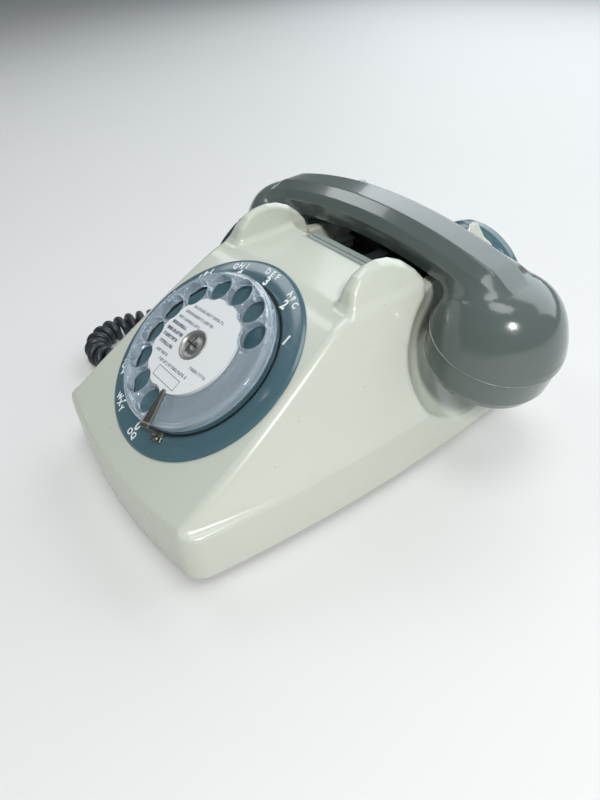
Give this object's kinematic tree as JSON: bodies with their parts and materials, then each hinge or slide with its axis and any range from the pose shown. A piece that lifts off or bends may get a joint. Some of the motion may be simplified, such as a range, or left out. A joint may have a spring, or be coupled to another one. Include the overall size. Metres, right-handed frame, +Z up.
{
  "type": "corded desk telephone",
  "caption": "Ivory rotary desk telephone with a grey handset lying across its cradle, a clear dial wheel, a curly cord and a second earpiece hung on the back.",
  "frame": {"origin": "on the table under the middle of the telephone", "axes": "+X along the handset towards its receiver cup, -Y towards the dial side, +Z up"},
  "size_m": [0.2655, 0.2495, 0.11],
  "materials": {
    "ivory_plastic": "glossy",
    "handset_plastic": "glossy",
    "blue_plastic": "glossy",
    "hook_plastic": "satin",
    "clear_wheel": "polished clear",
    "card": "matte",
    "hub_metal": "satin",
    "finger_stop_metal": "satin",
    "steel": "satin",
    "black_steel": "satin black",
    "gong_metal": "polished",
    "brass": "satin",
    "capsule_metal": "satin",
    "black_plastic": "satin",
    "coil_winding": "satin",
    "capacitor_case": "satin",
    "board": "satin",
    "rubber": "matte",
    "cord": "satin"
  },
  "bodies": {
    "base": {"body_shell": "ivory_plastic", "base_plate": "black_steel", "rubber_feet": "rubber", "base_screws": "steel", "number_ring": "blue_plastic", "finger_stop": "finger_stop_metal", "dial_frame": "steel", "pulse_contacts": "brass", "high_gong": "gong_metal", "low_gong": "gong_metal", "gong_posts": "brass", "ringer_frame": "steel", "ringer_coils": "coil_winding", "circuit_board": "board", "terminal_block": "black_plastic", "line_capacitor": "capacitor_case", "induction_coil": "coil_winding", "hook_contacts": "brass", "hook_guide": "black_plastic", "cradle_tray": "black_plastic", "line_cord_gland": "black_plastic", "handset_cord_gland": "black_plastic", "earpiece_hanger": "ivory_plastic", "handset_lead": "cord", "curly_cord": "cord", "gland_lead": "cord"},
    "dial": {"finger_wheel": "clear_wheel", "number_card": "card", "hub_cap": "hub_metal", "dial_spindle": "steel", "main_gear": "brass"},
    "pinion": {"pulse_pinion": "brass"},
    "hook": {"hook_bar": "hook_plastic"},
    "clapper": {"ringer_clapper": "steel"},
    "handset": {"handset_shell": "handset_plastic", "mouth_cap": "handset_plastic", "ear_cap": "handset_plastic", "microphone_capsule": "capsule_metal", "receiver_capsule": "capsule_metal", "handset_cord_boot": "black_plastic"},
    "earpiece": {"earpiece_shell": "blue_plastic", "earpiece_cap": "blue_plastic", "earpiece_capsule": "capsule_metal"}
  },
  "joints": [
    {"name": "dial_turn", "type": "hinge", "parent": "base", "child": "dial", "pos_m": [0, -0.0595, 0.0644], "axis": [0, -0.5045, 0.8634], "range_deg": [-325, 0], "stiffness_Nm_per_rad": 0.01, "springref_deg": 28.65},
    {"name": "pinion_spin", "type": "hinge", "parent": "base", "child": "pinion", "pos_m": [0.0264, -0.0595, 0.0644], "axis": [0, -0.5045, 0.8634], "range_deg": [0, 1171]},
    {"name": "handset_lift", "type": "slide", "parent": "base", "child": "handset", "axis": [0, 0, 1], "range_m": [0, 0.12]},
    {"name": "hook_rise", "type": "slide", "parent": "base", "child": "hook", "axis": [0, 0, 1], "range_m": [0, 0.005]},
    {"name": "clapper_swing", "type": "hinge", "parent": "base", "child": "clapper", "pos_m": [0, 0.0265, 0.02], "axis": [0, 0, 1], "range_deg": [-14, 14], "stiffness_Nm_per_rad": 0.002},
    {"name": "earpiece_pull", "type": "slide", "parent": "base", "child": "earpiece", "axis": [0, 0.9781, 0.2079], "range_m": [0, 0.05]}
  ],
  "couplings": [
    {"joint": "pinion_spin", "follows": "dial_turn", "ratio": -3.6},
    {"joint": "hook_rise", "follows": "handset_lift", "ratio": 0.0416}
  ]
}
